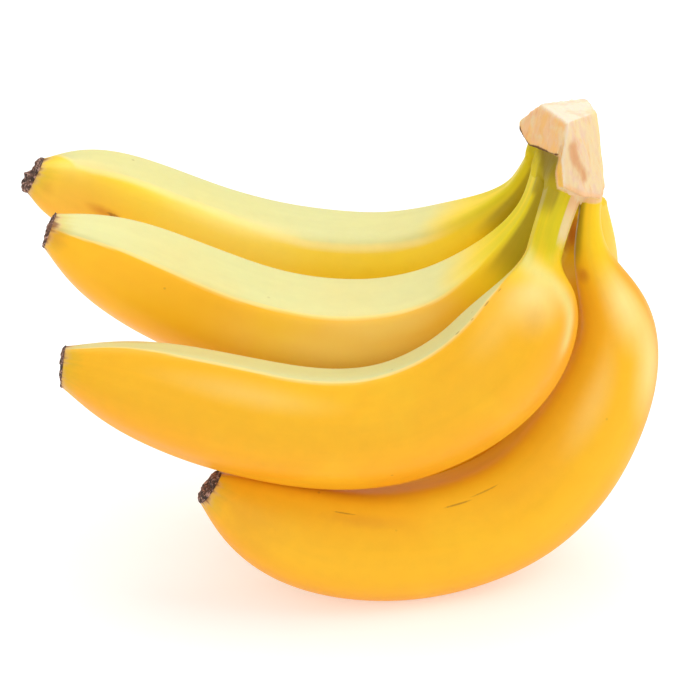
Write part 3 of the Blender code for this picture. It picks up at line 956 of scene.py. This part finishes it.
def peel_material(name, fruit):
    """Waxy peel: golden flanks, painted shade on the back, painted sheen and highlights on the
    hollow side and shoulders, green neck with olive painted shade, freckles, faint fibres.
    """
    n = Nodes(name)
    own = tuple(fruit["girth"] * share for share in PEEL_SEED)
    skin = n.attribute("skin", vector=True)
    place = n.stretch(n.add("ShaderNodeTexCoord").outputs["Object"], (1, 1, 1), own)
    long_skin = n.stretch(skin, (1, 1, STREAK_LENGTHENING), own)
    streak = n.noise(long_skin, scale=170.0, detail=3.0, rough=0.5, distortion=0.6)
    cloud = n.noise(place, scale=34.0, detail=3.0, rough=0.5)
    mottle = n.noise(place, scale=210.0, detail=4.0, rough=0.6)
    fine = n.noise(place, scale=1100.0, detail=3.0, rough=0.6)
    pale, yellow = n.attribute("pale"), n.attribute("yellow")
    warm = [g + (s - g) * fruit["sunny"] for g, s in zip(GOLD, SUNNY)]
    # Darker gold on the back of the bend, the underside: painted shade
    base = n.paint(warm, SHADE_GOLD, n.attribute("deep"), share=0.7)
    base = n.paint(base, SUNNY, n.band(cloud, 0.48, 0.74), share=0.30)
    # Painted sheen on the hollow side, then a lighter band of painted highlight along its edge
    base = n.paint(base, SHEEN_PAINT, n.times(pale, n.plus(0.80, cloud, 0.3)))
    base = n.paint(base, HIGHLIGHT_PAINT, n.times(pale, n.flip(pale)), share=2.4)
    cloudy = n.math("SUBTRACT", cloud, 0.5)
    # Light patches on the flanks and shoulders: painted highlights
    base = n.spots(base, HIGHLIGHT_PAINT, skin, fruit["glow"], soft=1.3, ragged=cloudy)
    base = n.spots(base, BLUSH, skin, fruit["blush"], soft=1.3, ragged=cloudy)
    base = n.paint(base, YELLOW, yellow, share=0.8)
    neck = n.paint(NECK, YELLOW, n.band(streak, 0.40, 0.75), share=0.45)
    base = n.paint(base, neck, n.attribute("green"))
    # Olive on the shaded sides of the neck: painted shade
    shade = n.band(n.plus(n.attribute("shade"), streak, 0.14), 0.14, 1.0)
    base = n.paint(base, OLIVE, n.times(shade, n.band(yellow, 0.0, 0.8)), OLIVE_SHARE)
    # Pale line over the shoulder: painted highlight
    base = n.paint(base, GLEAM, n.attribute("gleam"), share=0.66)
    strip = n.band(n.plus(n.attribute("strip"), mottle, 0.3), 0.4, 0.9)
    base = n.paint(base, CUT_CREAM, strip, share=0.8)
    base = n.paint(base, CUT_PEACH, n.times(strip, n.attribute("rosy")), share=0.8)
    ragged = n.plus(n.math("MULTIPLY", streak, 7.0), mottle, 3.0)
    end = n.math("ADD", n.attribute("end"), ragged)
    base = n.paint(base, TIP_GREEN, n.flip(n.band(end, 5.0, 12.0)), share=0.5)
    base = n.paint(base, TIP_PINK, n.flip(n.band(end, 4.6, 7.4)), share=0.6)
    base = n.paint(base, BROWN, n.flip(n.band(end, 3.9, 6.0)), share=0.85)
    distance, chance = n.cells(place, scale=170.0)
    freckle = n.times(n.flip(n.band(distance, 0.03, 0.12)), n.band(chance, 0.92, 0.96))
    base = n.paint(base, BROWN, freckle, share=0.30)
    mottled, specked = n.math("SUBTRACT", mottle, 0.5), n.math("SUBTRACT", fine, 0.3)
    base = n.spots(base, RUSSET, skin, fruit["smudges"], soft=1.2, ragged=mottled)
    base = n.spots(base, BROWN, skin, fruit["marks"], soft=0.7, ragged=specked)
    grain = n.plus(n.math("MULTIPLY", streak, 0.10), mottle, 0.10)
    tone = n.add("ShaderNodeHueSaturation")
    n.feed(tone.inputs["Color"], base)
    n.feed(tone.inputs["Value"], n.math("ADD", fruit["tone"] - TONE_OFFSET, grain))
    n.feed(n.shader.inputs["Base Color"], tone.outputs["Color"])
    n.feed(n.shader.inputs["Roughness"], n.plus(0.40, mottle, 0.14))
    n.shader.inputs["Specular IOR Level"].default_value = 0.25
    n.waxy(weight=0.10, scale=3.0)
    normal = n.bump(streak, distance=0.0002, strength=0.15)
    normal = n.bump(fine, distance=0.0001, strength=0.22, normal=normal)
    n.feed(n.shader.inputs["Normal"], normal)
    return n.material


def crown_material():
    """Knife-cut faces with fibres and veins, olive skin on the cushion with painted shade under
    the head, green necks with olive painted shade, and painted highlights on the cut edges.
    """
    n = Nodes("crown")
    place = n.add("ShaderNodeTexCoord").outputs["Object"]
    upright = n.stretch(place, (1.0, 1.0, 0.14))
    fibre = n.noise(upright, scale=520.0, detail=5.0, rough=0.62, distortion=0.5)
    patch = n.noise(n.stretch(place, (1.0, 1.0, 0.45)), scale=300.0, detail=4.0, rough=0.6)
    blotch = n.noise(place, scale=210.0, detail=2.0, rough=0.5)
    fine = n.noise(place, scale=1500.0, detail=3.0, rough=0.6)
    flesh = n.paint(CUT_CREAM, CUT_PINK, n.band(patch, 0.42, 0.62))
    flesh = n.paint(flesh, CUT_ORANGE, n.band(fibre, 0.50, 0.70), share=0.3)
    left = n.paint(CUT_ORANGE, CUT_PEACH, n.band(patch, 0.38, 0.60))
    left = n.paint(left, CUT_CREAM, n.band(blotch, 0.48, 0.66), share=0.7)
    left = n.paint(left, CUT_VEIN, n.band(fibre, 0.56, 0.72), share=0.25)
    low = n.band(n.plus(n.attribute("low"), blotch, 0.8), 0.75, 1.6)
    left = n.paint(left, CUT_DEEP, low, share=0.6)
    flesh = n.paint(flesh, left, n.attribute("left"), share=0.78)
    top = n.paint(CUT_PALE, CUT_PINK, n.band(blotch, 0.50, 0.66), share=0.6)
    flesh = n.paint(flesh, top, n.attribute("top"), share=0.85)
    # Yellow along the right edge of the cut: painted highlight
    flesh = n.paint(flesh, CUT_YELLOW, n.attribute("lit_edge"), share=0.8)
    groove = n.band(n.plus(n.attribute("groove"), patch, 1.1), 0.75, 1.60)
    flesh = n.paint(flesh, CUT_VEIN, groove, share=0.85)
    foot = n.band(n.plus(n.attribute("foot"), patch, 0.6), 0.5, 1.2)
    flesh = n.paint(flesh, CUT_PEACH, foot, share=0.7)
    # Pale line on the arris between the top and left cuts: painted highlight
    flesh = n.paint(flesh, CUT_PALE, n.attribute("arris_highlight"), share=0.7)
    flesh = n.paint(flesh, CUT_GOLD, n.attribute("stripe"), share=0.85)
    flesh = n.paint(flesh, CUT_VEIN, n.band(fibre, 0.60, 0.76), share=0.28)
    rind = n.paint(NECK, OLIVE, n.band(patch, 0.35, 0.7), share=0.4)
    # Cushion darkened to olive under the head: painted shade
    rind = n.paint(rind, OLIVE, n.attribute("shaded"), share=0.95)
    grown = n.paint(YELLOW, NECK_MEAN, n.attribute("green"))
    # Olive on the shaded sides of the necks: painted shade
    grown = n.paint(grown, OLIVE, n.attribute("olive"), OLIVE_SHARE)
    rind = n.paint(rind, grown, n.attribute("neck"))
    cut = n.attribute("cut")
    base = n.paint(rind, flesh, cut)
    base = n.paint(base, CUT_PEACH, n.times(cut, n.flip(cut)), share=2.2)
    crack = n.band(n.plus(n.attribute("crack"), fibre, 0.5), 0.60, 0.90)
    base = n.paint(base, CRACK_BROWN, crack, share=0.92)
    n.feed(n.shader.inputs["Base Color"], base)
    n.shader.inputs["Roughness"].default_value = 0.66
    n.shader.inputs["Specular IOR Level"].default_value = 0.2
    n.waxy(weight=0.12, scale=2.0)
    normal = n.bump(fibre, distance=0.0006, strength=0.5)
    normal = n.bump(fine, distance=0.0002, strength=0.4, normal=normal)
    n.feed(n.shader.inputs["Normal"], normal)
    return n.material


def tip_material():
    """Dead dark crust, torn outwards, with greyish pink crumbs."""
    n = Nodes("dry_tip")
    place = n.add("ShaderNodeTexCoord").outputs["Object"]
    radial = n.attribute("radial", vector=True)
    crumb = n.noise(place, scale=950.0, detail=5.0, rough=0.62)
    patch = n.noise(place, scale=330.0, detail=3.0, rough=0.55)
    rays = n.noise(radial, scale=900.0, detail=4.0, rough=0.6)
    base = n.paint(CRUST, CRUST_BROWN, n.band(patch, 0.40, 0.62))
    base = n.paint(base, CRUST_PINK, n.band(crumb, 0.52, 0.62), share=0.8)
    base = n.paint(base, CRUST, n.band(rays, 0.56, 0.70), share=0.5)
    n.feed(n.shader.inputs["Base Color"], base)
    n.shader.inputs["Roughness"].default_value = 0.85
    n.feed(n.shader.inputs["Normal"], n.bump(crumb, distance=0.0006, strength=0.9))
    return n.material


def floor_material():
    """Matt white sweep, lit from within a little so that shadows on it stay faint."""
    n = Nodes("floor")
    n.shader.inputs["Base Color"].default_value = (FLOOR_GREY, FLOOR_GREY, FLOOR_GREY, 1.0)
    n.shader.inputs["Roughness"].default_value = 0.9
    n.shader.inputs["Emission Color"].default_value = (1.0, 1.0, 1.0, 1.0)
    n.shader.inputs["Emission Strength"].default_value = FLOOR_GLOW
    return n.material


def add_floor():
    """Plain pale floor under the bunch."""
    half = FLOOR_HALF
    mesh = bpy.data.meshes.new("floor")
    corners = [(-half, -half, 0), (half, -half, 0), (half, half, 0), (-half, half, 0)]
    mesh.from_pydata(corners, [], [(0, 1, 2, 3)])
    mesh.materials.append(floor_material())
    floor = bpy.data.objects.new("floor", mesh)
    bpy.context.scene.collection.objects.link(floor)


def add_light(name, direction, distance, size, power):
    """Square soft lamp that shines on the bunch from a direction."""
    data = bpy.data.lights.new(name, "AREA")
    data.size = size
    data.energy = power
    lamp = bpy.data.objects.new(name, data)
    bpy.context.scene.collection.objects.link(lamp)
    target = Vector(LAMP_TARGET)
    lamp.location = target + Vector(direction).normalized() * distance
    lamp.rotation_mode = "QUATERNION"
    lamp.rotation_quaternion = (target - lamp.location).to_track_quat("-Z", "Y")


def add_lights():
    """Even white sky and the lamps."""
    world = bpy.data.worlds.new("studio")
    bpy.context.scene.world = world
    world.use_nodes = True
    background = world.node_tree.nodes["Background"]
    background.inputs["Color"].default_value = (1, 1, 1, 1)
    background.inputs["Strength"].default_value = SKY_STRENGTH
    for lamp in LAMPS:
        add_light(*lamp)


def add_camera():
    """Camera at the photograph's viewing angle."""
    tilt = math.radians(CAMERA_ELEVATION)
    data = bpy.data.cameras.new("camera")
    data.lens = CAMERA_LENS
    data.sensor_width = SENSOR_WIDTH
    data.clip_start = CLIP_START
    data.clip_end = CLIP_END
    camera = bpy.data.objects.new("camera", data)
    bpy.context.scene.collection.objects.link(camera)
    forward = np.array([0, math.cos(tilt), -math.sin(tilt)])
    camera.location = to_row(CAMERA_TARGET - forward * CAMERA_DISTANCE)
    camera.rotation_mode = "QUATERNION"
    camera.rotation_quaternion = Vector(forward).to_track_quat("-Z", "Y")
    bpy.context.scene.camera = camera


def main():
    crust = tip_material()
    build_crown(crown_material())
    for name, fruit in FRUITS.items():
        build_banana(name, fruit)
        build_tip(name, fruit, crust)
    add_floor()
    add_lights()
    add_camera()
    bpy.context.scene.view_settings.view_transform = "Standard"


main()
